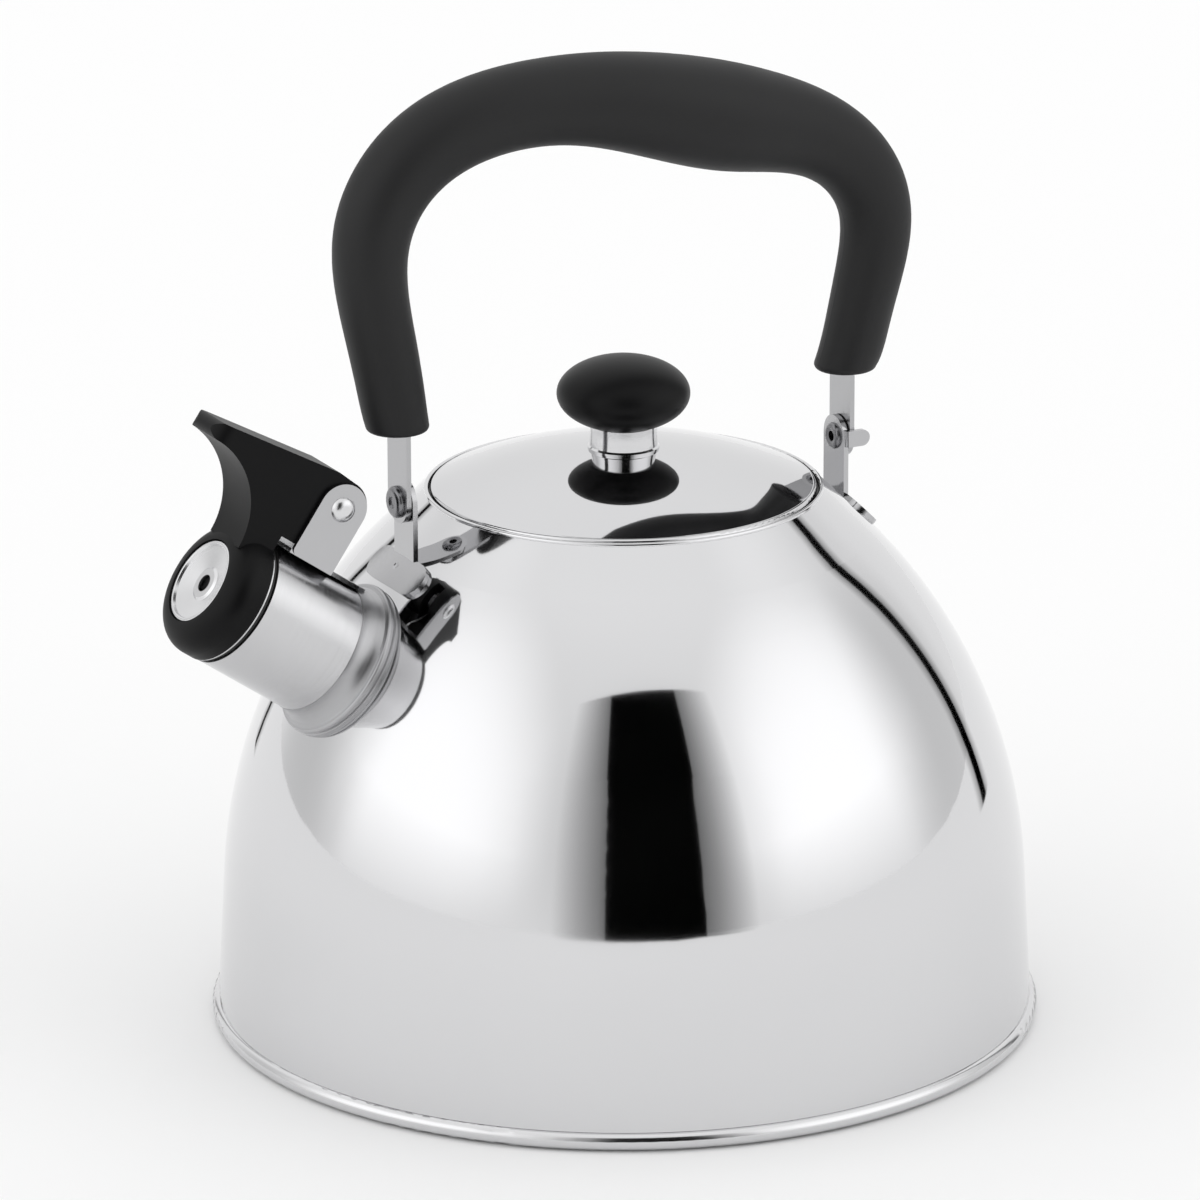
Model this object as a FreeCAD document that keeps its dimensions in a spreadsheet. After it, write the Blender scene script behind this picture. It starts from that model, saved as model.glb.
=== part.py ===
import FreeCAD, Part
import math
import os
import re
import Sketcher

# Stovetop whistling kettle.  Millimetres, degrees, +Z up.
# The origin is the centre of the underside of the base.  The spout points along -X,
# and the handle stands in the XZ plane above the lid.

doc = FreeCAD.newDocument("whistling_kettle")
Vec = FreeCAD.Vector
Rotation = FreeCAD.Rotation
Placement = FreeCAD.Placement

# ---------------------------------------------------------------- driving dimensions

SIZES = {
    # base: pan with a rolled rim, aluminium disc and its steel cap
    "rim_radius": 98.0,
    "rim_roll": 2.1,
    "rim_lift": 0.4,
    "sheet": 0.8,
    "cap_sheet": 0.6,
    "disc_radius": 83.0,
    "disc_thick": 3.2,
    # body: nearly straight wall, one big shoulder arc, then a straight cone to the mouth
    "wall_radius": 96.4,
    "wall_top": 34.4,
    "wall_slope": 2.4,
    "shoulder_radius": 124.2,
    "cone_angle": 45.8,
    "mouth_radius": 46.7,
    "lip_radius": 45.65,
    "lip_top": 129.4,
    "ledge_height": 128.0,
    "neck_radius": 43.0,
    "neck_bottom": 123.8,
    # lid
    "lid_radius": 45.15,
    "lid_roll": 0.9,
    "lid_gap": 0.1,
    "lid_crown": 115.0,
    "lid_apex": 138.65,
    "lid_sheet": 0.7,
    "plug_radius": 42.2,
    "plug_wall": 0.6,
    "plug_bottom": 121.0,
    "plug_flange": 38.5,
    # knob, its ferrule, insert, screw and washer
    "knob_radius": 15.6,
    "knob_half": 8.6,
    "knob_centre": 151.6,
    "knob_seat": 144.1,
    "ferrule_top": 7.9,
    "ferrule_foot": 8.4,
    "ferrule_bore": 6.8,
    "insert_radius": 3.4,
    "insert_top": 153.0,
    "screw_radius": 2.0,
    "screw_hole": 2.1,
    "screw_head": 3.8,
    "screw_head_high": 2.2,
    "screw_top": 152.0,
    "washer_radius": 5.0,
    "washer_thick": 0.8,
    # spout: its axis leaves the dome at this point, this much above level
    "spout_foot_out": 73.44,
    "spout_foot_up": 97.05,
    "spout_rise": 34.89,
    "tube_radius": 16.0,
    "tube_end": 33.2,
    "collar_radius": 19.0,
    # whistle head, measured along the spout axis from the spout foot
    "cap_radius": 16.2,
    "cap_front": 43.5,
    "cap_back": 34.9,
    "cap_shoulder": 5.7,
    "lip_bore": 10.45,
    "cup_bore": 12.9,
    "cup_wall": 0.6,
    "cup_flange": 0.4,
    "disc_seat": 40.6,
    "whistle_hole": 2.1,
    "boss_radius": 3.6,
    "gasket_back": 33.3,
    # whistle hinge: pivot above the spout axis, and along it
    "pivot_up": 30.5,
    "pivot_along": 25.1,
    "ear_radius": 6.0,
    "ear_outside": 8.8,
    "ear_sheet": 1.0,
    "lever_half": 7.6,
    "hub_radius": 6.3,
    "neck_under": 18.2,
    "pin_radius": 1.6,
    "pin_play": 0.08,
    "lever_tip": 63.1,
    "scoop_radius": 18.8,
    "spring_slot": 2.7,
    "spring_mean": 2.7,
    "spring_wire": 0.35,
    "spring_pitch": 0.91,
    "spring_play": 0.02,
    "push_leg": 6.2,
    # handle: brackets, straps and rivets, measured outward from the kettle axis
    "handle_height": 133.4,
    "riser_out": 57.1,
    "strip": 1.2,
    "strip_half": 5.0,
    "washer_gap": 0.3,
    "side_play": 0.05,
    "strap_top": 162.0,
    "lock_hole": 2.0,
    "lock_height": 156.3,
    "rivet_radius": 2.0,
    "rivet_play": 0.08,
    "rivet_head": 3.75,
    "foot_half": 12.5,
    "foot_corner": 4.0,
    "foot_length": 8.3,
    "tab_half": 1.95,
    "tab_rise": 0.5,
    "tab_reach": 62.1,
    "grip_edge": 1.2,
    # Pressed dimples of a bracket foot: radius, spacing, place down the slope, centre off the foot
    "dimple_radius": 2.0,
    "dimple_spacing": 9.6,
    "dimple_down": 3.4,
    "dimple_off": 1.75,
    # Thumb lever: front face, drop and rounding of the tip, rest of the spring slot
    "lever_face": 11.0,
    "lever_root": 12.0,
    "tip_drop": 1.1,
    "tip_flat": 1.6,
    "tip_width": 2.5,
    "tip_round": 2.4,
    "tip_corner": 4.2,
    "back_out": 6.95,
    "back_along": 5.0,
    "hub_skin": 0.25,
    "neck_along": 3.0,
    # Lengths of cutting tools: through one sheet, through the spout wall, through everything
    "short_cut": 20.0,
    "wall_cut": 40.0,
    "long_cut": 100.0,
    "foot_cut": 16.0,
}

# Grip centreline and radius: distance out along X, height, section radius.
GRIP_SECTIONS = [
    (-58.2, 150.6, 7.3),
    (-60.0, 160.0, 7.7),
    (-63.2, 176.5, 8.1),
    (-65.0, 192.0, 8.7),
    (-59.8, 208.0, 9.3),
    (-47.3, 218.5, 9.7),
    (-31.3, 223.1, 9.9),
    (-15.5, 223.6, 10.4),
    (-0.7, 221.6, 11.5),
    (13.5, 218.2, 12.6),
    (26.0, 214.9, 12.8),
    (38.4, 211.8, 11.7),
    (50.0, 207.6, 10.3),
    (60.3, 200.0, 9.3),
    (66.3, 188.5, 8.6),
    (65.9, 176.2, 8.1),
    (62.4, 162.0, 7.6),
    (58.2, 149.6, 7.3),
]

sheet = doc.addObject("Spreadsheet::Sheet", "Sizes")


def write_size(row, name, number):
    """Put one driving dimension in the sheet, with its alias."""
    sheet.set("A%d" % row, name)
    sheet.set("B%d" % row, "%g" % number)
    sheet.setAlias("B%d" % row, name)


for index, (size_name, size_value) in enumerate(SIZES.items()):
    write_size(index + 1, size_name, size_value)
for index, (out, up, radius) in enumerate(GRIP_SECTIONS):
    first_row = len(SIZES) + 1 + 3 * index
    write_size(first_row, "grip_out_%02d" % index, out)
    write_size(first_row + 1, "grip_up_%02d" % index, up)
    write_size(first_row + 2, "grip_half_%02d" % index, radius)
doc.recompute()

# ---------------------------------------------------------------- helpers


def bind(text):
    """Turn bare dimension names into references to the sheet."""
    return re.sub(r"[a-z][a-z_]*[a-z0-9]", lambda word: sheet_name(word.group(0)), str(text))


def sheet_name(word):
    known = word in SIZES or word.startswith("grip_")
    return "Sizes." + word if known else word


def number(text):
    """The present value of an expression written with dimension names."""
    return float(sheet.evalExpression(bind(text)))


def arc_between(start, end, radius):
    """Arc from start to end: a positive radius turns left, a negative one turns right."""
    chord = end - start
    reach = math.sqrt(max(radius * radius - chord.Length ** 2 / 4, 0))
    side = Vec(-chord.y, chord.x, 0).normalize() * math.copysign(reach, radius)
    centre = (start + end) * 0.5 + side
    first, last = (start, end) if radius > 0 else (end, start)
    angle_first = math.atan2(first.y - centre.y, first.x - centre.x)
    angle_last = math.atan2(last.y - centre.y, last.x - centre.x)
    circle = Part.Circle(centre, Vec(0, 0, 1), abs(radius))
    return Part.ArcOfCircle(circle, angle_first, angle_last)


def draw(sketch, outline):
    """Draw a closed outline.  A vertex is (x, y), or (x, y, r) where an arc of radius r
    leads on to the next vertex.  Every vertex and radius is bound to the sheet."""
    corners = [Vec(number(vertex[0]), number(vertex[1]), 0) for vertex in outline]
    starts = []
    for i, vertex in enumerate(outline):
        here, there = corners[i], corners[(i + 1) % len(corners)]
        if len(vertex) == 2:
            geometry = sketch.addGeometry(Part.LineSegment(here, there))
            ends = (1, 2)
        else:
            radius = number(vertex[2])
            geometry = sketch.addGeometry(arc_between(here, there, radius))
            ends = (1, 2) if radius > 0 else (2, 1)
            rule = sketch.addConstraint(Sketcher.Constraint("Radius", geometry, abs(radius)))
            sketch.setExpression("Constraints[%d]" % rule, "abs(%s)" % bind(vertex[2]))
        starts.append((geometry, ends))
    for i, vertex in enumerate(outline):
        geometry, ends = starts[i]
        before, before_ends = starts[i - 1]
        sketch.addConstraint(Sketcher.Constraint("Coincident", before, before_ends[1], geometry, ends[0]))
        for kind, text, value in (("DistanceX", vertex[0], corners[i].x),
                                  ("DistanceY", vertex[1], corners[i].y)):
            rule = sketch.addConstraint(Sketcher.Constraint(kind, -1, 1, geometry, ends[0], value))
            sketch.setExpression("Constraints[%d]" % rule, bind(text))
    return sketch


def new_body(label, plane, outline, place=None):
    """A body with one closed outline on one of its origin planes."""
    body = doc.addObject("PartDesign::Body", label)
    sketch = body.newObject("Sketcher::SketchObject", label + "_outline")
    support = [item for item in body.Origin.OriginFeatures if item.Role == plane][0]
    sketch.AttachmentSupport = (support, [""])
    sketch.MapMode = "FlatFace"
    draw(sketch, outline)
    if place is not None:
        body.Placement = place
    return body, sketch


def turned(label, outline, place=None):
    """A round piece: the outline (radius, height) revolved about the body's own Z axis."""
    body, sketch = new_body(label, "XZ_Plane", outline, place)
    revolution = body.newObject("PartDesign::Revolution", label + "_turned")
    revolution.Profile = sketch
    revolution.ReferenceAxis = (sketch, ["V_Axis"])
    revolution.Angle = 360
    sketch.Visibility = False
    doc.recompute()
    return body


def plate(label, plane, outline, thickness, place=None):
    """A flat piece: the outline padded by thickness, half to each side of its plane."""
    body, sketch = new_body(label, plane, outline, place)
    pad = body.newObject("PartDesign::Pad", label + "_pad")
    pad.Profile = sketch
    pad.SideType = "Symmetric"
    pad.setExpression("Length", bind(thickness))
    doc.recompute()
    return body


def cylinder(label, radius, height, place):
    """A plain round tool or piece, standing on its placement."""
    item = doc.addObject("Part::Cylinder", label)
    item.setExpression("Radius", bind(radius))
    item.setExpression("Height", bind(height))
    item.Placement = place
    return item


def ball(label, radius, centre):
    item = doc.addObject("Part::Sphere", label)
    item.setExpression("Radius", bind(radius))
    item.Placement.Base = centre
    return item


def cut(label, base, *tools):
    """Base less every tool."""
    for i, tool in enumerate(tools):
        result = doc.addObject("Part::Cut", label if i == len(tools) - 1 else label + "_step")
        result.Base = base
        result.Tool = tool
        base = result
    doc.recompute()
    return base


def common(label, first, second):
    result = doc.addObject("Part::Common", label)
    result.Base = first
    result.Tool = second
    doc.recompute()
    return result


def fuse(label, *shapes):
    result = doc.addObject("Part::MultiFuse", label)
    result.Shapes = list(shapes)
    result.Refine = True
    doc.recompute()
    return result


parts = {}


def keep(label, item):
    """Name a finished sub-part."""
    item.Label = label
    parts[label] = item
    return item


def shift(x=0, y=0, z=0):
    return Placement(Vec(x, y, z), Rotation())


# Frame of the spout: local Z runs out along the spout, local X points up across it.
SPOUT = Placement(
    Vec(-number("spout_foot_out"), 0, number("spout_foot_up")),
    Rotation(Vec(0, 1, 0), number("spout_rise") - 90),
)

# Frames of the two handle ends: local Z points outward along the handle's pivot axis.
FRONT_END = Placement(Vec(0, 0, number("handle_height")), Rotation(Vec(0, 1, 0), -90))
REAR_END = Placement(Vec(0, 0, number("handle_height")), Rotation(Vec(0, 1, 0), 90))

# ---------------------------------------------------------------- body outline

FLOOR = "rim_lift + 2 * rim_roll"
WALL_R = "(wall_radius - (wall_top - %s) * tan(wall_slope))" % FLOOR
ARC_R = "(%s - shoulder_radius * cos(wall_slope))" % WALL_R
ARC_Z = "(wall_top - shoulder_radius * sin(wall_slope))"
CONE_R = "(%s + shoulder_radius * cos(cone_angle))" % ARC_R
CONE_Z = "(%s + shoulder_radius * sin(cone_angle))" % ARC_Z


def skin(offset):
    """Vertices of the wall, shoulder and cone, moved out by offset, up to the cone's foot."""
    return [
        ("wall_radius + %s" % offset, FLOOR),
        ("%s + (%s) * cos(wall_slope)" % (WALL_R, offset), "wall_top + (%s) * sin(wall_slope)" % offset,
         "shoulder_radius + %s" % offset),
        ("%s + (%s) * cos(cone_angle)" % (CONE_R, offset), "%s + (%s) * sin(cone_angle)" % (CONE_Z, offset)),
    ]


def cone_height(radius, offset):
    """Height of the cone, moved out by offset, at a radius."""
    foot = skin(offset)[2]
    return "%s + (%s - (%s)) / tan(cone_angle)" % (foot[1], foot[0], radius)


def cone_radius(height, offset):
    foot = skin(offset)[2]
    return "%s - (%s - (%s)) * tan(cone_angle)" % (foot[0], height, foot[1])


def solid_inside(label, offset):
    """Solid filled with everything inside the skin moved out by offset."""
    tip = "mouth_radius"
    outline = skin(offset) + [(tip, cone_height(tip, offset)), ("0", cone_height(tip, offset)), ("0", FLOOR)]
    return turned(label, outline)


outside_solid = solid_inside("outside_solid", "0")
inside_solid = solid_inside("inside_solid", "-sheet")

# ---------------------------------------------------------------- body and base


def make_kettle_body():
    inner = skin("-sheet")
    under_ledge = "ledge_height - sheet"
    outline = skin("0") + [
        ("mouth_radius", cone_height("mouth_radius", "0"), "0.6"),
        ("lip_radius + 0.45", "lip_top", "0.6"),
        ("lip_radius", "lip_top - 0.4"),
        ("lip_radius", "ledge_height"),
        ("neck_radius + 0.3", "ledge_height"),
        ("neck_radius", "ledge_height - 0.3"),
        ("neck_radius", "neck_bottom"),
        ("neck_radius + sheet", "neck_bottom"),
        ("neck_radius + sheet", under_ledge),
        (cone_radius(under_ledge, "-sheet"), under_ledge),
        (inner[2][0], inner[2][1], "-(shoulder_radius - sheet)"),
        (inner[1][0], inner[1][1]),
        inner[0],
    ]
    shell = turned("body_shell", outline)
    bore = cylinder("spout_hole", "tube_radius", "wall_cut", SPOUT.multiply(shift(z=-number("wall_cut / 2"))))
    return cut("kettle_body", shell, bore)


def make_base_pan():
    rim_mid = "rim_radius - rim_roll"
    outline = [
        ("0", FLOOR + " - sheet"),
        ("rim_radius - 2.4 * rim_roll", FLOOR + " - sheet"),
        ("rim_radius - 2 * rim_roll", "rim_lift + rim_roll", "rim_roll"),
        (rim_mid, "rim_lift", "rim_roll"),
        ("rim_radius", "rim_lift + rim_roll", "rim_roll"),
        (rim_mid, FLOOR),
        ("0", FLOOR),
    ]
    return turned("base_pan", outline)


def make_heat_disc():
    top = "cap_sheet + disc_thick"
    outline = [("0", "cap_sheet"), ("disc_radius - 0.8", "cap_sheet"), ("disc_radius", "cap_sheet + 0.8"),
               ("disc_radius", top), ("0", top)]
    return turned("heat_spreader_disc", outline)


def make_base_cap():
    top = "cap_sheet + disc_thick"
    outline = [
        ("0", "0"),
        ("disc_radius - 0.8", "0", "cap_sheet + 0.8"),
        ("disc_radius + cap_sheet", "cap_sheet + 0.8"),
        ("disc_radius + cap_sheet", top),
        ("disc_radius", top),
        ("disc_radius", "cap_sheet + 0.8"),
        ("disc_radius - 0.8", "cap_sheet"),
        ("0", "cap_sheet"),
    ]
    return turned("base_cap", outline)


# The underside of the pan's floor rests on the disc.
assert abs(number(FLOOR + " - sheet - cap_sheet - disc_thick")) < 0.01

# ---------------------------------------------------------------- lid and knob


def crown(radius, offset="0"):
    """Height of the lid's domed top, moved out by offset, at a radius."""
    return ("lid_apex - lid_crown + sqrt((lid_crown + (%s)) ^ 2 - (%s) ^ 2)" % (offset, radius))


def make_lid_shell():
    roll_r = "lid_radius - lid_roll"
    roll_z = "ledge_height + lid_gap + lid_roll"
    under = "-lid_sheet"
    edge = "lid_radius - 1.6 * lid_roll"
    outline = [
        ("screw_hole", crown("screw_hole"), "-lid_crown"),
        (roll_r, crown(roll_r), "-lid_roll"),
        ("lid_radius", roll_z, "-lid_roll"),
        (roll_r, "%s - lid_roll" % roll_z),
        (edge, "%s - 0.4" % roll_z),
        (edge, crown(edge, under), "lid_crown - lid_sheet"),
        ("screw_hole", crown("screw_hole", under)),
    ]
    return turned("lid_shell", outline)


def make_lid_plug():
    low = "-(lid_sheet + plug_wall)"
    inner = "plug_radius - plug_wall"
    outline = [
        ("plug_radius", "plug_bottom"),
        ("plug_radius", crown("plug_radius", "-lid_sheet"), "lid_crown - lid_sheet"),
        ("plug_flange", crown("plug_flange", "-lid_sheet")),
        ("plug_flange", crown("plug_flange", low), "-(lid_crown - lid_sheet - plug_wall)"),
        (inner, crown(inner, low)),
        (inner, "plug_bottom"),
    ]
    return turned("lid_plug_ring", outline)


def make_knob():
    blank = doc.addObject("Part::Ellipsoid", "knob_blank")
    blank.setExpression("Radius1", bind("knob_half"))
    blank.setExpression("Radius2", bind("knob_radius"))
    blank.setExpression("Radius3", bind("knob_radius"))
    blank.Placement = shift(z=number("knob_centre"))
    seat = cylinder("knob_seat_cut", "knob_radius + 1", "knob_half", shift(z=number("knob_seat - knob_half")))
    bore = cylinder("knob_bore", "insert_radius", "insert_top - knob_seat + 1", shift(z=number("knob_seat - 1")))
    return cut("lid_knob", blank, seat, bore)


def make_ferrule():
    outline = [
        ("ferrule_bore", crown("ferrule_bore"), "-lid_crown"),
        ("ferrule_foot", crown("ferrule_foot")),
        ("ferrule_foot", crown("ferrule_foot") + " + 0.5"),
        ("ferrule_foot - 0.45", crown("ferrule_foot") + " + 0.9", "-30"),
        ("ferrule_top", "knob_seat"),
        ("screw_hole", "knob_seat"),
        ("screw_hole", "knob_seat - 0.6"),
        ("ferrule_bore", "knob_seat - 0.6"),
    ]
    return turned("knob_ferrule", outline)


UNDER_LID = crown("washer_radius", "-lid_sheet")


def make_knob_insert():
    outline = [("screw_radius", "knob_seat"), ("insert_radius", "knob_seat"),
               ("insert_radius", "insert_top"), ("screw_radius", "insert_top")]
    return turned("knob_insert", outline)


def make_knob_washer():
    low = "%s - washer_thick" % UNDER_LID
    outline = [("screw_hole", low), ("washer_radius", low), ("washer_radius", UNDER_LID), ("screw_hole", UNDER_LID)]
    return turned("knob_washer", outline)


def make_knob_screw():
    seat = "%s - washer_thick" % UNDER_LID
    low = "%s - screw_head_high" % seat
    outline = [
        ("0", low + " + 0.9"),
        ("1.4", low + " + 0.9"),
        ("1.8", low),
        ("screw_head - 0.6", low, "1.6"),
        ("screw_head", seat),
        ("screw_radius", seat),
        ("screw_radius", "screw_top - 0.5"),
        ("screw_radius - 0.5", "screw_top"),
        ("0", "screw_top"),
    ]
    return turned("knob_screw", outline)


# ---------------------------------------------------------------- spout


def make_spout_tube():
    bore = "tube_radius - sheet"
    outline = [(bore, "-12"), ("tube_radius", "-12"), ("tube_radius", "tube_end"), (bore, "tube_end")]
    blank = turned("tube_blank", outline, SPOUT)
    return cut("spout_tube", blank, inside_solid)


def make_spout_collar():
    outline = [
        ("tube_radius", "-4"),
        ("collar_radius", "-4"),
        ("collar_radius", "0"),
        ("collar_radius - 0.5", "0.3"),
        ("collar_radius - 0.5", "0.6"),
        ("collar_radius", "0.9"),
        ("collar_radius", "1.4", "0.7"),
        ("collar_radius - 0.7", "2.1"),
        ("collar_radius - 1.2", "2.3", "-6.5"),
        ("tube_radius + 0.12", "7.6"),
        ("tube_radius", "7.6"),
    ]
    blank = turned("collar_blank", outline, SPOUT)
    return cut("spout_collar", blank, outside_solid)


# ---------------------------------------------------------------- whistle hinge


def spout_shift(up=0, across=0, along=0):
    """Placement in the spout's frame."""
    return SPOUT.multiply(shift(up, across, along))


def make_hinge_bracket(collar):
    near = "pivot_along - ear_radius"
    far = "pivot_along + ear_radius"
    base_outline = [
        ("-ear_outside", near + " + 0.5"),
        ("-4.4", near + " - 2"),
        ("-3.6", "8"),
        ("-0.8", "4.6", "1.1"),
        ("0.8", "4.6"),
        ("3.6", "8"),
        ("4.4", near + " - 2"),
        ("ear_outside", near + " + 0.5"),
        ("ear_outside", far + " - 1"),
        ("ear_outside - 1", far),
        ("-ear_outside + 1", far),
        ("-ear_outside", far + " - 1"),
    ]
    middle = number("tube_radius + ear_sheet / 2")
    base = plate("hinge_base", "YZ_Plane", base_outline, "ear_sheet", spout_shift(middle))
    ear_outline = [
        ("tube_radius", near),
        ("tube_radius", far + " - 1.5", "-1.5"),
        ("tube_radius + 1.5", far),
        ("pivot_up", far, "-ear_radius"),
        ("pivot_up + ear_radius", "pivot_along", "-ear_radius"),
        ("pivot_up", near),
    ]
    ears = []
    for side in (-1, 1):
        across = side * number("ear_outside - ear_sheet / 2")
        ears.append(plate("hinge_ear_%d" % (side + 1), "XZ_Plane", ear_outline, "ear_sheet", spout_shift(0, across)))
    blank = fuse("hinge_blank", base, *ears)
    hole = cylinder("hinge_hole", "pin_radius", "4 * ear_outside", PIVOT.multiply(shift(z=-2 * number("ear_outside"))))
    return cut("whistle_bracket", blank, hole, collar)


# Frame of the whistle's pivot: local Z runs along the pin, across the spout.
PIVOT = SPOUT.multiply(Placement(Vec(number("pivot_up"), 0, number("pivot_along")), Rotation(Vec(1, 0, 0), -90)))


def make_whistle_pin():
    head = "ear_outside + side_play"
    outline = [
        ("0", "-(%s) - 1.3" % head),
        ("1.2", "-(%s) - 1.3" % head, "2.4"),
        ("3", "-(%s)" % head),
        ("pin_radius", "-(%s)" % head),
        ("pin_radius", head),
        ("3", head, "2.4"),
        ("1.2", head + " + 1.3"),
        ("0", head + " + 1.3"),
    ]
    return turned("whistle_pin", outline, PIVOT)


def make_whistle_spring():
    """Torsion spring: a coil round the pin, a rest leg on the bracket, and a push leg that
    holds the lever down.  Drawn in a frame of its own: X out along the spout, Y up from it."""
    mean = number("spring_mean")
    wire = number("spring_wire")
    pitch = number("spring_pitch")
    start_angle = math.radians(SPRING_START)
    turns = SPRING_TURNS
    height = pitch * turns
    slope = pitch / (2 * math.pi * mean)
    start = Vec(mean * math.cos(start_angle), mean * math.sin(start_angle), 0)
    leaving = Vec(-math.sin(start_angle), math.cos(start_angle), slope)
    rest_drop = number("pivot_up - tube_radius - ear_sheet - spring_wire - spring_play") + start.y
    rest_tip = start - leaving * (rest_drop / leaving.y)
    end_angle = start_angle + 2 * math.pi * turns
    end = Vec(mean * math.cos(end_angle), mean * math.sin(end_angle), height)
    arriving = Vec(-math.sin(end_angle), math.cos(end_angle), slope)
    push_tip = end + arriving * number("push_leg")
    helix = Part.makeHelix(pitch, height, mean)
    helix.rotate(Vec(), Vec(0, 0, 1), SPRING_START)
    path = Part.Wire([Part.makeLine(rest_tip, start)] + helix.Edges + [Part.makeLine(end, push_tip)])
    section = Part.Wire(Part.makeCircle(wire, rest_tip, leaving))
    spring = path.makePipeShell([section], True, False)
    feature = doc.addObject("Part::Feature", "whistle_spring")
    feature.Shape = spring
    # The drawing's X is minus the pivot frame's Y, its Y is the pivot frame's X.
    feature.Placement = PIVOT.multiply(Placement(Vec(0, 0, -height / 2), Rotation(Vec(0, 0, 1), -90)))
    return feature


# The rest leg leaves the coil at this angle, and the push leg points straight out.
SPRING_START = -45
SPRING_TURNS = 3.875


def make_whistle_lever():
    """Moulded whistle cap with its thumb lever: a ring round the whistle, a neck, and a hub
    between the bracket's ears."""
    ring_outline = [
        ("lip_bore", "cap_front"),
        ("lip_bore", "disc_seat"),
        ("cup_bore", "disc_seat"),
        ("cup_bore", "cap_back"),
        ("cap_radius", "cap_back"),
        ("cap_radius", "cap_front - cap_shoulder", "cap_shoulder"),
        ("cap_radius - cap_shoulder", "cap_front"),
    ]
    ring = turned("cap_ring", ring_outline, SPOUT)
    lever_outline = [
        ("lever_face", "lever_tip - tip_drop - scoop_radius", "scoop_radius"),
        ("lever_face + scoop_radius", "lever_tip - tip_drop", "-2"),
        ("lever_face + tip_flat + scoop_radius", "lever_tip", "-tip_round"),
        ("lever_face + tip_flat + tip_width + scoop_radius", "lever_tip - 1.3"),
        ("pivot_up + back_out", "pivot_along + back_along"),
        ("pivot_up + hub_radius + hub_skin", "pivot_along", "-(hub_radius + hub_skin)"),
        ("pivot_up", "pivot_along - hub_radius - hub_skin", "-(hub_radius + hub_skin)"),
        ("pivot_up - hub_radius - hub_skin", "pivot_along"),
        ("neck_under", "pivot_along + neck_along"),
        ("neck_under", "cap_back"),
        ("lever_root", "cap_back"),
    ]
    arm = plate("lever_arm", "XZ_Plane", lever_outline, "2 * lever_half", SPOUT)
    plan_outline = [
        ("-lever_half", "0"),
        ("lever_half", "0"),
        ("lever_half", "lever_tip - tip_corner", "tip_corner"),
        ("lever_half - tip_corner", "lever_tip"),
        ("tip_corner - lever_half", "lever_tip", "tip_corner"),
        ("-lever_half", "lever_tip - tip_corner"),
    ]
    plan = plate("lever_plan", "YZ_Plane", plan_outline, "long_cut", SPOUT)
    blank = fuse("lever_blank", ring, common("lever_arm_rounded", arm, plan))
    front_bore = cylinder("cap_front_bore", "lip_bore", "wall_cut", spout_shift(along=number("disc_seat")))
    cup_bore = cylinder("cap_cup_bore", "cup_bore", "disc_seat - cap_back + 2", spout_shift(along=number("cap_back - 2")))
    pin_hole = cylinder("lever_pin_hole", "pin_radius + pin_play", "4 * lever_half",
                        PIVOT.multiply(shift(z=-2 * number("lever_half"))))
    ledge = "pivot_up - spring_mean - spring_wire - spring_play"
    slot_outline = [
        ("pivot_up - hub_radius - 2", "pivot_along - hub_radius - 2"),
        ("pivot_up - hub_radius - 2", "pivot_along + 4"),
        (ledge, "pivot_along + 4"),
        (ledge, "pivot_along + push_leg + 1"),
        ("pivot_up + 3.7", "pivot_along + push_leg + 1"),
        ("pivot_up + 3.7", "pivot_along - hub_radius - 2"),
    ]
    slot = plate("spring_slot", "XZ_Plane", slot_outline, "2 * spring_slot", SPOUT)
    return cut("whistle_lever", blank, front_bore, cup_bore, pin_hole, slot)


def make_front_disc():
    """Front whistle plate: a shallow cone with a raised rim, and a raised boss round its hole."""
    outline = [
        ("whistle_hole", "cap_front - 2.1"),
        ("whistle_hole", "cap_front - 1.6"),
        ("boss_radius", "cap_front - 1.6"),
        ("boss_radius + 0.7", "cap_front - 2"),
        ("lip_bore - 1.35", "cap_front - 0.9"),
        ("lip_bore - 1.05", "cap_front - 0.3", "-0.7"),
        ("lip_bore - 0.15", "cap_front - 0.5"),
        ("lip_bore - 0.15", "disc_seat"),
        ("cup_bore - 0.05", "disc_seat"),
        ("cup_bore - 0.05", "disc_seat - 0.6"),
        ("lip_bore - 0.8", "disc_seat - 0.6"),
        ("lip_bore - 1.1", "cap_front - 1.5"),
        ("boss_radius + 0.8", "cap_front - 2.55"),
        ("boss_radius + 0.2", "cap_front - 2.1"),
    ]
    return turned("whistle_front_disc", outline, SPOUT)


def make_rear_disc():
    inner = "cup_bore - cup_wall"
    outline = [("whistle_hole", "cap_back + 2.4"), (inner, "cap_back + 2.4"), (inner, "cap_back + 3"),
               ("whistle_hole", "cap_back + 3")]
    return turned("whistle_rear_disc", outline, SPOUT)


def make_whistle_cup():
    inner = "cup_bore - cup_wall"
    outline = [
        (inner, "disc_seat - 0.6"),
        (inner, "cap_back - cup_flange"),
        ("cap_radius - 0.1", "cap_back - cup_flange"),
        ("cap_radius - 0.1", "cap_back"),
        ("cup_bore", "cap_back"),
        ("cup_bore", "disc_seat - 0.6"),
    ]
    return turned("whistle_cup", outline, SPOUT)


def make_gasket():
    top = "cap_back - cup_flange"
    outline = [("cup_bore + 0.6", top), ("cup_bore + 0.6", "gasket_back + 0.3"), ("cup_bore + 0.9", "gasket_back"),
               ("cap_radius - 0.9", "gasket_back"), ("cap_radius - 0.6", "gasket_back + 0.3"),
               ("cap_radius - 0.6", top)]
    return turned("whistle_gasket", outline, SPOUT)


# ---------------------------------------------------------------- handle


def end_frame(side):
    """Frame of a handle end: local Z outward, local X down, local Y across."""
    return REAR_END if side > 0 else FRONT_END


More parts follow.
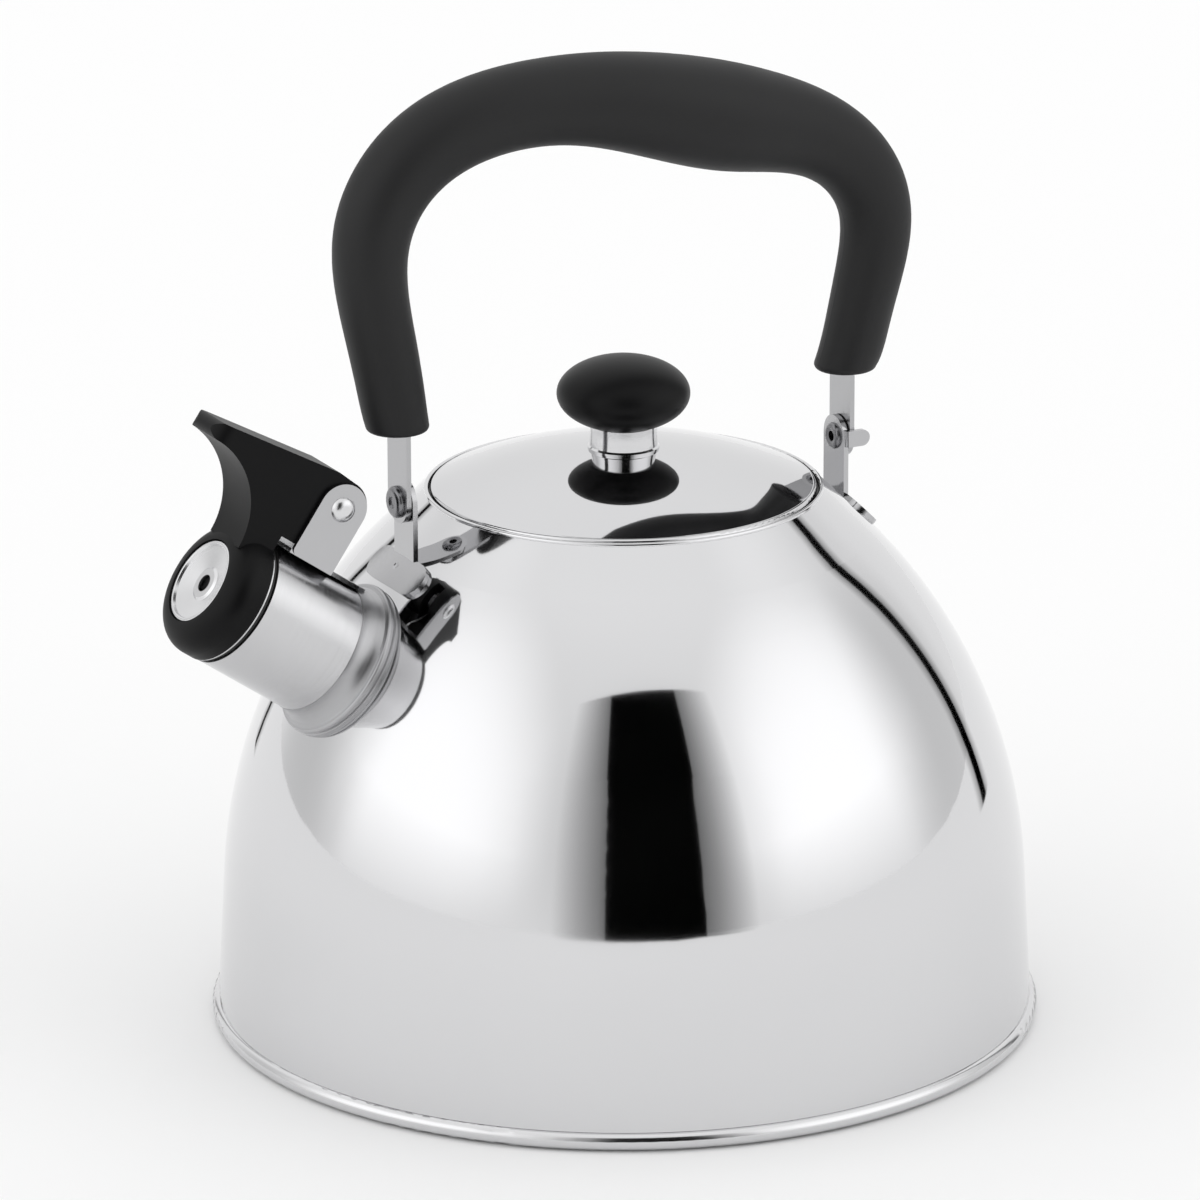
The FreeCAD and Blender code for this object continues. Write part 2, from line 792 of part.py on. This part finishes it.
def make_handle_bracket(label, side, with_tab):
    middle = side * number("riser_out - strip / 2")
    riser_outline = [
        ("-strip_half", "handle_height - 25"),
        ("strip_half", "handle_height - 25"),
        ("strip_half", "handle_height", "strip_half"),
        ("0", "handle_height + strip_half", "strip_half"),
        ("-strip_half", "handle_height"),
    ]
    riser = plate(label + "_riser", "YZ_Plane", riser_outline, "strip", shift(middle))
    riser = cut(label + "_riser_cut", riser, outside_solid)
    # Foot: a stadium-shaped patch of sheet that follows the dome.
    inner, outer = skin("0"), skin("strip")
    top = "mouth_radius + 4"
    strip_outline = [
        (inner[1][0], inner[1][1], inner[1][2]),
        inner[2],
        (top, cone_height(top, "0")),
        (top, cone_height(top, "strip")),
        (outer[2][0], outer[2][1], "-(shoulder_radius + strip)"),
        (outer[1][0], outer[1][1]),
    ]
    skin_strip = turned(label + "_foot_skin", strip_outline)
    foot_outline = [
        ("-foot_half + foot_corner", "0"),
        ("foot_half - foot_corner", "0", "foot_corner"),
        ("foot_half", "foot_corner", "foot_corner"),
        ("foot_half - foot_corner", "foot_length"),
        ("-foot_half + foot_corner", "foot_length", "foot_corner"),
        ("-foot_half", "foot_corner", "foot_corner"),
    ]
    root_out = number("riser_out - strip")
    root = Vec(side * root_out, 0, number(cone_height("riser_out - strip", "0")))
    # Local Y of the foot runs down the slope, local Z stands off the dome.
    lean = Rotation(Vec(0, 1, 0), side * (90 - number("cone_angle")))
    foot_place = Placement(root, lean.multiply(Rotation(Vec(0, 0, 1), -90 * side)))
    prism = plate(label + "_foot_prism", "XY_Plane", foot_outline, "foot_cut", foot_place)
    foot = common(label + "_foot", skin_strip, prism)
    pieces = [riser, foot]
    if with_tab:
        pieces.append(make_stop_tab())
    blank = fuse(label + "_blank", *pieces)
    middle = end_frame(side).multiply(shift(z=number("riser_out - short_cut / 2")))
    hole = cylinder(label + "_hole", "rivet_radius", "short_cut", middle)
    dimples = []
    for step in (-1, 0, 1):
        across = step * number("dimple_spacing")
        spot = foot_place.multVec(Vec(across, number("dimple_down"), number("strip + dimple_off")))
        dimples.append(ball("%s_dimple_%d" % (label, step + 1), "dimple_radius", spot))
    return cut(label, blank, hole, *dimples)


def make_stop_tab():
    """Tab bent out from the rear bracket's near edge, which the upright strap leans on."""
    face = "-(strip_half + 0.15)"
    inside = "riser_out - strip"
    plan_outline = [
        (inside, "-strip_half + 0.5"),
        (inside, face, "strip"),
        ("riser_out", "-(strip_half + 0.15 + strip)"),
        ("tab_reach", "-(strip_half + 0.15 + strip)"),
        ("tab_reach", face),
        ("riser_out", face),
        ("riser_out", "-strip_half + 0.5"),
    ]
    plan = plate("tab_plan", "XY_Plane", plan_outline, "short_cut", shift(z=number("handle_height")))
    low = "handle_height + tab_rise - tab_half"
    high = "handle_height + tab_rise + tab_half"
    side_outline = [
        ("riser_out - 3", low),
        ("tab_reach - tab_half", low, "tab_half"),
        ("tab_reach", "handle_height + tab_rise", "tab_half"),
        ("tab_reach - tab_half", high),
        ("riser_out - 3", high),
    ]
    side_view = plate("tab_side", "XZ_Plane", side_outline, "wall_cut")
    return common("stop_tab", plan, side_view)


def make_handle_rivet(label, side):
    """Semi-tubular rivet: domed head outside, rolled end inside the bracket."""
    inside = "riser_out - strip"
    seat = "riser_out + washer_gap + strip + 2 * side_play"
    outline = [
        ("1.25", inside + " - 0.75"),
        ("1.9", inside + " - 0.95", "0.95"),
        ("3.15", inside),
        ("rivet_radius", inside),
        ("rivet_radius", seat),
        ("rivet_head", seat),
        ("rivet_head", seat + " + 0.3", "1.2"),
        ("rivet_head - 1.1", seat + " + 1.5"),
        ("1.5", seat + " + 1.5"),
        ("1.1", seat + " + 1.1"),
        ("0", seat + " + 1.1"),
        ("0", seat + " - 0.9"),
        ("1.25", seat + " - 0.9"),
    ]
    return turned(label, outline, end_frame(side))


def make_pivot_washer(label, side):
    outline = [
        ("rivet_radius", "riser_out"),
        ("strip_half - 0.4", "riser_out"),
        ("strip_half - 0.4", "riser_out + washer_gap"),
        ("rivet_radius", "riser_out + washer_gap"),
    ]
    return turned(label, outline, end_frame(side))


def strap_blank(label, side):
    middle = side * number("riser_out + washer_gap + side_play + strip / 2")
    outline = [
        ("0", "handle_height - strip_half", "strip_half"),
        ("strip_half", "handle_height"),
        ("strip_half", "strap_top - 2", "2"),
        ("strip_half - 2", "strap_top"),
        ("2 - strip_half", "strap_top", "2"),
        ("-strip_half", "strap_top - 2"),
        ("-strip_half", "handle_height", "strip_half"),
    ]
    blank = plate(label + "_blank", "YZ_Plane", outline, "strip", shift(middle))
    across = end_frame(side)
    pivot = cylinder(label + "_pivot_hole", "rivet_radius + rivet_play", "long_cut", across)
    lock_place = Placement(Vec(0, 0, number("lock_height")), across.Rotation)
    lock = cylinder(label + "_lock_hole", "lock_hole", "long_cut", lock_place)
    return cut(label, blank, pivot, lock)


def grip_slope(name, i):
    """Rate of change of one coordinate at section i, each neighbour weighted by its nearness."""
    terms = []
    for first in (i - 1, i):
        step = ["%s_%02d - %s_%02d" % (axis, first + 1, axis, first) for axis in ("grip_out", "grip_up")]
        change = "%s_%02d - %s_%02d" % (name, first + 1, name, first)
        terms.append("(%s) / ((%s) ^ 2 + (%s) ^ 2)" % (change, step[0], step[1]))
    return " + ".join(terms)


def make_grip(straps):
    """Moulded grip: a loft through round sections, moulded round the two straps."""
    circles = []
    last = len(GRIP_SECTIONS) - 1
    for i in range(len(GRIP_SECTIONS)):
        circle = doc.addObject("Part::Circle", "grip_section_%02d" % i)
        circle.setExpression("Radius", bind("grip_half_%02d" % i))
        circle.Placement = Placement(Vec(), Rotation(Vec(0, 1, 0), 1))
        circle.setExpression("Placement.Base.x", bind("grip_out_%02d" % i))
        circle.setExpression("Placement.Base.z", bind("grip_up_%02d" % i))
        if i in (0, last):
            lean = "0" if i == 0 else "180"
        else:
            lean = "atan2(%s; %s)" % (grip_slope("grip_out", i), grip_slope("grip_up", i))
        circle.setExpression("Placement.Rotation.Angle", bind(lean))
        circles.append(circle)
    doc.recompute()
    loft = doc.addObject("Part::Loft", "grip_loft")
    loft.Sections = circles
    loft.Solid = True
    loft.Ruled = False
    doc.recompute()
    ends = []
    for i, edge in enumerate(loft.Shape.Edges):
        low = edge.BoundBox.ZMax < number("grip_up_00") + 1
        if low:
            ends.append((i + 1, number("grip_edge"), number("grip_edge")))
    rounded = doc.addObject("Part::Fillet", "grip_rounded")
    rounded.Base = loft
    rounded.Edges = ends
    doc.recompute()
    return cut("handle_grip", rounded, *straps)


# ---------------------------------------------------------------- assembly

keep("kettle_body", make_kettle_body())
keep("base_pan", make_base_pan())
keep("heat_spreader_disc", make_heat_disc())
keep("base_cap", make_base_cap())
keep("spout_tube", make_spout_tube())
keep("spout_collar", make_spout_collar())
keep("whistle_bracket", make_hinge_bracket(parts["spout_collar"]))
keep("whistle_pin", make_whistle_pin())
keep("whistle_spring", make_whistle_spring())
keep("whistle_lever", make_whistle_lever())
keep("whistle_front_disc", make_front_disc())
keep("whistle_rear_disc", make_rear_disc())
keep("whistle_cup", make_whistle_cup())
keep("whistle_gasket", make_gasket())
keep("lid_shell", make_lid_shell())
keep("lid_plug_ring", make_lid_plug())
keep("lid_knob", make_knob())
keep("knob_ferrule", make_ferrule())
keep("knob_insert", make_knob_insert())
keep("knob_washer", make_knob_washer())
keep("knob_screw", make_knob_screw())
keep("front_bracket", make_handle_bracket("front_bracket", -1, False))
keep("rear_bracket", make_handle_bracket("rear_bracket", 1, True))
for end_name, end_side in (("front", -1), ("rear", 1)):
    keep(end_name + "_rivet", make_handle_rivet(end_name + "_rivet", end_side))
    keep(end_name + "_pivot_washer", make_pivot_washer(end_name + "_pivot_washer", end_side))
    keep(end_name + "_strap", strap_blank(end_name + "_strap", end_side))
keep("handle_grip", make_grip([parts["front_strap"], parts["rear_strap"]]))

# ---------------------------------------------------------------- checks and export

doc.recompute()
for item in doc.Objects:
    faults = [state for state in item.State if state in ("Invalid", "Error")]
    if faults:
        raise RuntimeError("%s is %s" % (item.Label, ", ".join(faults)))
for label, item in parts.items():
    shape = item.Shape
    if shape.isNull() or not shape.isValid():
        raise RuntimeError("%s has no valid shape" % label)
    if len(shape.Solids) != 1:
        raise RuntimeError("%s has %d solids" % (label, len(shape.Solids)))

os.makedirs("parts", exist_ok=True)
for label, item in parts.items():
    item.Shape.exportStep("parts/%s.step" % label)
    print("%-20s %9.1f mm3" % (label, item.Shape.Volume))
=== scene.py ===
import math
import bpy
from mathutils import Matrix, Vector

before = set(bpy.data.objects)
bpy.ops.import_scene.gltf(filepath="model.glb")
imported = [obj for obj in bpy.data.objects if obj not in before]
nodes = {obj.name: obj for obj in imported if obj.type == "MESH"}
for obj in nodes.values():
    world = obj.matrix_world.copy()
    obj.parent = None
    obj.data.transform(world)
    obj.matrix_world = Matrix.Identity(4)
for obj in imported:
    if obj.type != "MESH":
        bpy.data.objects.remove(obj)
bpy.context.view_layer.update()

# ---------------------------------------------------------------- driving values

# The spout rises at this angle.  The turn brings its axis onto the Z of a material's pattern.
SPOUT_RISE = math.radians(34.89)
SPOUT_TURN = (0, math.pi / 2 - SPOUT_RISE, 0)

# Radius, lowest height and least roughness of the ledge and neck inside the mouth, which are
# rougher than the rest of the body and carry painted shade.
MOUTH_BORE = 0.0457
NECK_BOTTOM = 0.12
MOUTH_ROUGHNESS = 0.4

# Colours of the metals and mouldings.
MIRROR = (0.70, 0.70, 0.71)
LID_MIRROR = (0.66, 0.66, 0.67)
# Painted shade: the colour of the ledge and neck inside the mouth, darkened for the shade that
# falls in this recess.
MOUTH_SHADE = (0.05, 0.05, 0.05)
BRIGHT_SATIN = (0.74, 0.74, 0.75)
SPOUT_SATIN = (0.62, 0.62, 0.63)
FOOT_SATIN = (0.50, 0.50, 0.51)
SATIN = (0.46, 0.46, 0.47)
DARK_SATIN = (0.24, 0.24, 0.25)
GRIP_BLACK = (0.007, 0.007, 0.0075)
HARD_BLACK = (0.0022, 0.0022, 0.0025)

# How much rougher and how much darker than clean steel a smear is.
SMEAR_ROUGHNESS = 0.03
SMEAR_TONE = 0.965

# Tone of the darkest patches: of brushed steel, and of plain metal, rubber or nylon.  Rubbed
# patches of a moulding are lighter than the rest.
BRUSHED_TONE = 0.93
PLAIN_TONE = 0.9
RUBBED_TONE = 1.35

# Brushing: scale of the pattern along X, Y and Z.  It changes fastest along the largest.
ROUND_SPOUT = (25, 25, 3000)
ROUND_COLLAR = (25, 25, 2500)
ROUND_FERRULE = (20, 20, 2000)
UP_STRAP = (1500, 1500, 15)
ACROSS_BASE = (2000, 20, 20)
TUMBLED = (900, 900, 900)
TURNED = (6, 6, 2600)

# Turn of the camera's side about Z, in degrees.  Azimuths in the studio are counted from it.
CAMERA_SIDE = -27.1

# Studio: half the floor's side, the floor's grey, and the tent's own brightness.
FLOOR_HALF = 8.0
FLOOR_GREY = 0.93
TENT = 0.95

# Dark upright cards: name, azimuth in degrees, then distance, half width, faded side and height
# in metres, and how dark the faded side starts.
CARDS = [
    ("camera_gap", 8.6, 2.5, 0.64, 0.75, 3.35, 0.75),
    ("right_seam", 124.0, 0.58, 0.017, 0.034, 0.56, 0.6),
    ("left_seam", -141.0, 0.45, 0.007, 0.02, 0.42, 0.5),
]

# Soft patches of the tent: azimuth, elevation, inner radius, outer radius, strength.
# All angles are in degrees, and a strength below 0 darkens.
LAMPS = [
    (-68, 19, 5, 46, 0.50),
    (71, 19, 5, 45, 0.50),
]
PATCHES = [
    (180, 72, 20, 62, 0.10),
    (8.6, 18, 12, 42, -0.16),
    (-113, 12, 4, 29, -0.24),
    (116, 12, 4, 29, -0.20),
]

# The lamps fade towards the floor: their share at the low height of a unit direction, and full
# strength from the high one.
LAMP_LOW_SHARE = 0.16
LAMP_LOW = -0.02
LAMP_HIGH = 0.27

# Camera: place, aim and roll, then lens and film in millimetres, and how far it sees in metres.
CAMERA_AT = Vector((-0.8725, -1.6926, 0.7125))
LOOK_AT = Vector((-0.00497, 0.00254, 0.1009))
CAMERA_ROLL = math.radians(-0.154)
CAMERA_LENS = 255.8
CAMERA_FILM = 36.0
CAMERA_REACH = 50.0

# ---------------------------------------------------------------- material helpers


def new_material(name, metallic=0.0, roughness=0.5, specular=0.5):
    """A material with a Principled shader, and its constant values on the shader itself."""
    material = bpy.data.materials.new(name)
    material.use_nodes = True
    shader = material.node_tree.nodes["Principled BSDF"]
    shader.inputs["Metallic"].default_value = metallic
    shader.inputs["Roughness"].default_value = roughness
    shader.inputs["Specular IOR Level"].default_value = specular
    return material, material.node_tree, shader


def coordinates(tree, scale=(1, 1, 1), turn=(0, 0, 0)):
    """Object coordinates in metres, turned and then stretched."""
    source = tree.nodes.new("ShaderNodeTexCoord")
    spin = tree.nodes.new("ShaderNodeMapping")
    spin.inputs["Rotation"].default_value = turn
    tree.links.new(source.outputs["Object"], spin.inputs["Vector"])
    stretch = tree.nodes.new("ShaderNodeMapping")
    stretch.inputs["Scale"].default_value = scale
    tree.links.new(spin.outputs["Vector"], stretch.inputs["Vector"])
    return stretch.outputs["Vector"]


def toned(colour, factor):
    """The colour with every channel times the factor."""
    return [channel * factor for channel in colour]


def noise(tree, vector, scale, detail=3.0, rough=0.5):
    """A cloudy pattern from 0 to 1, with the scale in features per unit of the vector."""
    node = tree.nodes.new("ShaderNodeTexNoise")
    node.inputs["Scale"].default_value = scale
    node.inputs["Detail"].default_value = detail
    node.inputs["Roughness"].default_value = rough
    tree.links.new(vector, node.inputs["Vector"])
    return node.outputs["Fac"]


def spread(tree, value, low, high, start=0.3, end=0.7):
    """Map a 0 to 1 pattern onto the range low to high."""
    node = tree.nodes.new("ShaderNodeMapRange")
    node.inputs["From Min"].default_value = start
    node.inputs["From Max"].default_value = end
    node.inputs["To Min"].default_value = low
    node.inputs["To Max"].default_value = high
    tree.links.new(value, node.inputs["Value"])
    return node.outputs["Result"]


def tint(tree, value, dark, light):
    """Colour that goes from dark to light with a pattern."""
    node = tree.nodes.new("ShaderNodeMix")
    node.data_type = "RGBA"
    node.inputs["A"].default_value = (*dark, 1)
    node.inputs["B"].default_value = (*light, 1)
    tree.links.new(value, node.inputs["Factor"])
    return node.outputs["Result"]


def bump(tree, shader, height, depth, strength=1.0):
    """Relief of a pattern, depth metres high."""
    node = tree.nodes.new("ShaderNodeBump")
    node.inputs["Strength"].default_value = strength
    node.inputs["Distance"].default_value = depth
    tree.links.new(height, node.inputs["Height"])
    tree.links.new(node.outputs["Normal"], shader.inputs["Normal"])


def arithmetic(tree, operation, first, second=None):
    """One step of arithmetic.  Each value is a number or another node's output."""
    node = tree.nodes.new("ShaderNodeMath")
    node.operation = operation
    for socket, value in zip(node.inputs, (first, second)):
        if isinstance(value, (int, float)):
            socket.default_value = value
        elif value is not None:
            tree.links.new(value, socket)
    return node.outputs["Value"]


def mouth_rough_and_shade_mask(tree):
    """1 on the ledge and neck inside the mouth, which are rougher and carry painted shade, 0 on the
    rest of the body.
    """
    source = tree.nodes.new("ShaderNodeTexCoord")
    split = tree.nodes.new("ShaderNodeSeparateXYZ")
    tree.links.new(source.outputs["Object"], split.inputs["Vector"])
    across = arithmetic(tree, "POWER", split.outputs["X"], 2)
    deep = arithmetic(tree, "POWER", split.outputs["Y"], 2)
    radius = arithmetic(tree, "SQRT", arithmetic(tree, "ADD", across, deep))
    within = arithmetic(tree, "LESS_THAN", radius, MOUTH_BORE)
    high = arithmetic(tree, "GREATER_THAN", split.outputs["Z"], NECK_BOTTOM)
    return arithmetic(tree, "MULTIPLY", within, high)


def mirror_steel(name, colour, polish=0.035, rough_and_shaded_mouth=False):
    """Buffed stainless steel: a mirror with faint turning lines and a few smears.  The mouth option
    makes the ledge and neck inside the mouth rougher and paints shade into their colour.
    """
    material, tree, shader = new_material(name, metallic=1.0)
    smears = noise(tree, coordinates(tree), scale=22, detail=4)
    roughness = spread(tree, smears, polish, polish + SMEAR_ROUGHNESS)
    tone = tint(tree, smears, toned(colour, SMEAR_TONE), colour)
    if rough_and_shaded_mouth:
        inside = mouth_rough_and_shade_mask(tree)
        unpolished = arithmetic(tree, "MULTIPLY", inside, MOUTH_ROUGHNESS)
        roughness = arithmetic(tree, "MAXIMUM", roughness, unpolished)
        # Painted shade: the ledge and neck inside the mouth take the dark MOUTH_SHADE colour.
        painted_shade = tree.nodes.new("ShaderNodeMix")
        painted_shade.data_type = "RGBA"
        painted_shade.inputs["B"].default_value = (*MOUTH_SHADE, 1)
        tree.links.new(inside, painted_shade.inputs["Factor"])
        tree.links.new(tone, painted_shade.inputs["A"])
        tone = painted_shade.outputs["Result"]
    tree.links.new(roughness, shader.inputs["Roughness"])
    tree.links.new(tone, shader.inputs["Base Color"])
    lines = noise(tree, coordinates(tree, TURNED), scale=1.0, detail=2)
    bump(tree, shader, lines, depth=2e-6, strength=0.25)
    return material


def satin_steel(name, colour, low, high, scale, turn=(0, 0, 0), depth=12e-6):
    """Steel brushed one way: fine lines run across the axis with the largest scale."""
    material, tree, shader = new_material(name, metallic=1.0)
    grain = noise(tree, coordinates(tree, scale, turn), scale=1.0, detail=4, rough=0.6)
    tree.links.new(spread(tree, grain, low, high), shader.inputs["Roughness"])
    patches = noise(tree, coordinates(tree), scale=60, detail=3)
    tone = tint(tree, patches, toned(colour, BRUSHED_TONE), colour)
    tree.links.new(tone, shader.inputs["Base Color"])
    bump(tree, shader, grain, depth, strength=0.5)
    return material


def moulding(name, colour, sheen, low, high, grain_size=0.00035, depth=20e-6):
    """Soft-touch black moulding: a fine spark-eroded grain, and rubbed patches that shine more."""
    material, tree, shader = new_material(name, specular=sheen)
    rubbed = noise(tree, coordinates(tree), scale=30, detail=4)
    tree.links.new(spread(tree, rubbed, low, high), shader.inputs["Roughness"])
    tone = tint(tree, rubbed, colour, toned(colour, RUBBED_TONE))
    tree.links.new(tone, shader.inputs["Base Color"])
    grain = noise(tree, coordinates(tree), scale=1 / grain_size, detail=2)
    bump(tree, shader, grain, depth, strength=0.35)
    return material


def plain(name, colour, low, high, metallic=0.0, grain=900, depth=10e-6):
    """Metal, rubber or nylon with a fine even grain."""
    material, tree, shader = new_material(name, metallic=metallic)
    pattern = noise(tree, coordinates(tree), scale=grain, detail=3)
    tree.links.new(spread(tree, pattern, low, high), shader.inputs["Roughness"])
    tone = tint(tree, pattern, toned(colour, PLAIN_TONE), colour)
    tree.links.new(tone, shader.inputs["Base Color"])
    bump(tree, shader, pattern, depth, strength=0.4)
    return material


# ---------------------------------------------------------------- materials on the CAD nodes

# Satin steels: colour, lowest and highest roughness, brushing, and its depth in metres.
# Mouldings: colour, sheen, lowest and highest roughness.
body_steel = mirror_steel("body_steel", MIRROR, rough_and_shaded_mouth=True)
pan_steel = mirror_steel("pan_steel", MIRROR, polish=0.14)
lid_steel = mirror_steel("lid_steel", LID_MIRROR, polish=0.03)
tube_steel = satin_steel("tube_steel", SPOUT_SATIN, 0.16, 0.26, ROUND_SPOUT, SPOUT_TURN, 4e-6)
disc_steel = satin_steel("disc_steel", BRIGHT_SATIN, 0.20, 0.28, ROUND_SPOUT, SPOUT_TURN, 2e-6)
collar_steel = satin_steel("collar_steel", SATIN, 0.30, 0.40, ROUND_COLLAR, SPOUT_TURN, 3e-6)
ferrule_steel = satin_steel("ferrule_steel", MIRROR, 0.08, 0.14, ROUND_FERRULE, depth=2e-6)
strap_steel = satin_steel("strap_steel", SATIN, 0.16, 0.24, UP_STRAP, depth=3e-6)
foot_steel = satin_steel("foot_steel", FOOT_SATIN, 0.12, 0.20, UP_STRAP, depth=2e-6)
rivet_steel = satin_steel("rivet_steel", DARK_SATIN, 0.20, 0.34, TUMBLED, depth=4e-6)
base_steel = satin_steel("base_steel", SATIN, 0.25, 0.40, ACROSS_BASE)
aluminium = plain("aluminium", (0.62, 0.63, 0.64), 0.35, 0.5, metallic=1.0)
wire_steel = plain("wire_steel", (0.5, 0.5, 0.5), 0.2, 0.35, metallic=1.0)
brass = plain("brass", (0.75, 0.55, 0.26), 0.2, 0.35, metallic=1.0)
grip_black = moulding("grip_black", GRIP_BLACK, 0.34, 0.50, 0.60)
knob_black = moulding("knob_black", HARD_BLACK, 0.15, 0.36, 0.46)
cap_black = moulding("cap_black", HARD_BLACK, 0.15, 0.38, 0.48)
gasket_rubber = plain("gasket_rubber", (0.012, 0.012, 0.012), 0.55, 0.7)
nylon = plain("nylon", (0.03, 0.03, 0.03), 0.35, 0.5)

FINISHES = {
    body_steel: ["kettle_body"],
    pan_steel: ["base_pan"],
    collar_steel: ["spout_collar"],
    lid_steel: ["lid_shell"],
    ferrule_steel: ["knob_ferrule"],
    tube_steel: ["spout_tube", "whistle_cup"],
    disc_steel: ["whistle_front_disc", "whistle_rear_disc", "whistle_pin"],
    strap_steel: ["front_strap", "rear_strap", "lid_plug_ring"],
    foot_steel: ["front_bracket", "rear_bracket", "whistle_bracket"],
    rivet_steel: ["front_rivet", "rear_rivet"],
    base_steel: ["base_cap"],
    aluminium: ["heat_spreader_disc"],
    wire_steel: ["whistle_spring", "knob_washer", "knob_screw"],
    brass: ["knob_insert"],
    grip_black: ["handle_grip"],
    knob_black: ["lid_knob"],
    cap_black: ["whistle_lever"],
    gasket_rubber: ["whistle_gasket"],
    nylon: ["front_pivot_washer", "rear_pivot_washer"],
}
for material, names in FINISHES.items():
    for name in names:
        for slot in nodes[name].material_slots:
            slot.material = material

# ---------------------------------------------------------------- floor, dark cards and light

bpy.context.scene.view_settings.view_transform = "Standard"


def direction(azimuth, elevation):
    """Unit vector away from the kettle.  Azimuth 0 is the camera's side, and grows to its right."""
    turn = math.radians(azimuth + CAMERA_SIDE)
    rise = math.radians(elevation)
    level = math.cos(rise)
    return Vector((math.sin(turn) * level, -math.cos(turn) * level, math.sin(rise)))


def stage_panel(name, corners, material):
    """A flat panel that belongs to the studio."""
    mesh = bpy.data.meshes.new(name)
    mesh.from_pydata(corners, [], [(0, 1, 2, 3)])
    panel = bpy.data.objects.new(name, mesh)
    bpy.context.collection.objects.link(panel)
    mesh.materials.append(material)
    return panel


def floor_paint():
    """Matt pale paint."""
    material, _, shader = new_material("floor_paint", roughness=0.9, specular=0.0)
    shader.inputs["Base Color"].default_value = (FLOOR_GREY, FLOOR_GREY, FLOOR_GREY, 1)
    return material


def card_paint(name, half, side, faded):
    """Black in the middle, and fading out to each side like a dark gap between two lamps."""
    material, tree, shader = new_material(name, roughness=1.0, specular=0.0)
    shader.inputs["Base Color"].default_value = (0, 0, 0, 1)
    source = tree.nodes.new("ShaderNodeTexCoord")
    split = tree.nodes.new("ShaderNodeSeparateXYZ")
    tree.links.new(source.outputs["Object"], split.inputs["Vector"])
    away = arithmetic(tree, "ABSOLUTE", split.outputs["X"])
    core = arithmetic(tree, "LESS_THAN", away, half)
    fade = spread(tree, away, faded, 0.0, half, half + side)
    tree.links.new(arithmetic(tree, "MAXIMUM", core, fade), shader.inputs["Alpha"])
    return material


def dark_card(name, azimuth, out, half, side, tall, faded):
    """An upright dark card that shows only as a reflection."""
    edge = half + side
    corners = [(-edge, 0, 0), (edge, 0, 0), (edge, 0, tall), (-edge, 0, tall)]
    card = stage_panel(name, corners, card_paint(name + "_paint", half, side, faded))
    card.location = direction(azimuth, 0) * out
    card.rotation_euler = (0, 0, math.radians(CAMERA_SIDE + azimuth))
    card.visible_camera = False
    card.visible_diffuse = False
    card.visible_shadow = False


stage_panel(
    "floor",
    [
        (-FLOOR_HALF, -FLOOR_HALF, 0),
        (FLOOR_HALF, -FLOOR_HALF, 0),
        (FLOOR_HALF, FLOOR_HALF, 0),
        (-FLOOR_HALF, FLOOR_HALF, 0),
    ],
    floor_paint(),
)
for card_values in CARDS:
    dark_card(*card_values)


def glow(tree, toward, azimuth, elevation, inner, outer, strength):
    """A soft round patch of light on the white tent, from its inner to its outer radius."""
    dot = tree.nodes.new("ShaderNodeVectorMath")
    dot.operation = "DOT_PRODUCT"
    dot.inputs[1].default_value = direction(azimuth, elevation)
    tree.links.new(toward, dot.inputs[0])
    node = tree.nodes.new("ShaderNodeMapRange")
    node.interpolation_type = "SMOOTHSTEP"
    node.inputs["From Min"].default_value = math.cos(math.radians(outer))
    node.inputs["From Max"].default_value = math.cos(math.radians(inner))
    node.inputs["To Min"].default_value = 0.0
    node.inputs["To Max"].default_value = strength
    tree.links.new(dot.outputs["Value"], node.inputs["Value"])
    return node.outputs["Result"]


world = bpy.data.worlds.new("studio")
world.use_nodes = True
tent = world.node_tree
sky = tent.nodes.new("ShaderNodeTexCoord").outputs["Generated"]
height = tent.nodes.new("ShaderNodeSeparateXYZ")
tent.links.new(sky, height.inputs["Vector"])
above = spread(tent, height.outputs["Z"], LAMP_LOW_SHARE, 1.0, LAMP_LOW, LAMP_HIGH)
light = TENT
for lamp in LAMPS:
    raised = arithmetic(tent, "MULTIPLY", glow(tent, sky, *lamp), above)
    light = arithmetic(tent, "ADD", raised, light)
for patch in PATCHES:
    light = arithmetic(tent, "ADD", glow(tent, sky, *patch), light)
backing = tent.nodes["Background"]
backing.inputs["Color"].default_value = (1, 1, 1, 1)
tent.links.new(light, backing.inputs["Strength"])
bpy.context.scene.world = world

# ---------------------------------------------------------------- camera

camera_data = bpy.data.cameras.new("camera")
camera_data.lens = CAMERA_LENS
camera_data.sensor_width = CAMERA_FILM
camera_data.clip_end = CAMERA_REACH
camera = bpy.data.objects.new("camera", camera_data)
aim = (LOOK_AT - CAMERA_AT).to_track_quat("-Z", "Y").to_matrix().to_4x4()
roll = Matrix.Rotation(CAMERA_ROLL, 4, "Z")
camera.matrix_world = Matrix.Translation(CAMERA_AT) @ aim @ roll
bpy.context.collection.objects.link(camera)
bpy.context.scene.camera = camera
